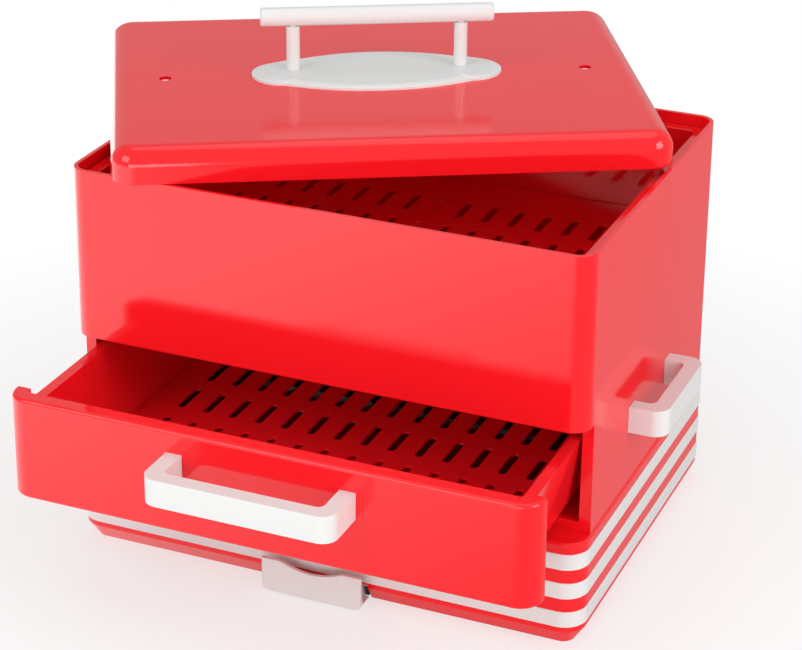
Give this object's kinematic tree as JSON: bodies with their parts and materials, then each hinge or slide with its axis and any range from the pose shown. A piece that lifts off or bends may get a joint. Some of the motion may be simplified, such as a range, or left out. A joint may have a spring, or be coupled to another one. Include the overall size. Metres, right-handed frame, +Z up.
{
  "type": "hot dog steamer",
  "caption": "Countertop steamer for hot dogs: boxy moulded cabinet on a banded base, pull-out drawer, hanging upper tray, slide-out drip tray and a loose lid with a bar handle.",
  "frame": {"origin": "middle of the base's footprint, on the table", "axes": "+X to the right seen from the front, the drawer pulls out along -Y, +Z up"},
  "size_m": [0.4063, 0.4484, 0.298],
  "materials": {
    "red_plastic": "gloss",
    "white_plastic": "gloss",
    "steel": "satin",
    "aluminium": "satin",
    "black_plastic": "matte",
    "black_rubber": "matte",
    "cream_plastic": "matte",
    "black_wire": "matte",
    "red_wire": "matte",
    "white_wire": "matte"
  },
  "bodies": {
    "cabinet": {"upper_housing": "red_plastic", "base_housing": "red_plastic", "band_upper": "white_plastic", "band_middle": "white_plastic", "band_lower": "white_plastic", "side_handle_left": "white_plastic", "side_handle_right": "white_plastic", "side_handle_screws": "steel", "housing_screws": "steel", "base_plate": "black_plastic", "base_screws": "steel", "feet": "black_rubber", "cord_gland": "black_plastic", "water_pan": "steel", "drip_plate": "steel", "heating_plate": "aluminium", "heating_element": "steel", "element_bracket": "steel", "thermostat": "black_plastic", "thermal_fuse": "steel", "terminal_block": "cream_plastic", "live_lead": "black_wire", "link_lead": "red_wire", "neutral_lead": "white_wire"},
    "drip_drawer": {"drip_tray": "white_plastic"},
    "drawer": {"drawer_front": "red_plastic", "drawer_tub": "red_plastic", "drawer_rack": "red_plastic", "drawer_handle": "white_plastic", "drawer_handle_screws": "steel"},
    "tray": {"upper_tray": "red_plastic", "upper_rack": "red_plastic"},
    "lid": {"lid_shell": "red_plastic", "lid_handle_plate": "white_plastic", "lid_post_left": "white_plastic", "lid_post_right": "white_plastic", "lid_grip": "white_plastic", "lid_screws": "steel"}
  },
  "joints": [
    {"name": "drawer_slide", "type": "slide", "parent": "cabinet", "child": "drawer", "axis": [0, -1, 0], "range_m": [-0.0748, 0.075]},
    {"name": "drip_tray_slide", "type": "slide", "parent": "cabinet", "child": "drip_drawer", "axis": [0, -1, 0], "range_m": [0, 0.08]},
    {"name": "upper_tray_lift", "type": "slide", "parent": "cabinet", "child": "tray", "axis": [0, 0, 1], "range_m": [0, 0.15]},
    {"name": "lid_lift", "type": "slide", "parent": "tray", "child": "lid", "axis": [0, 0, 1], "range_m": [0, 0.15]}
  ]
}
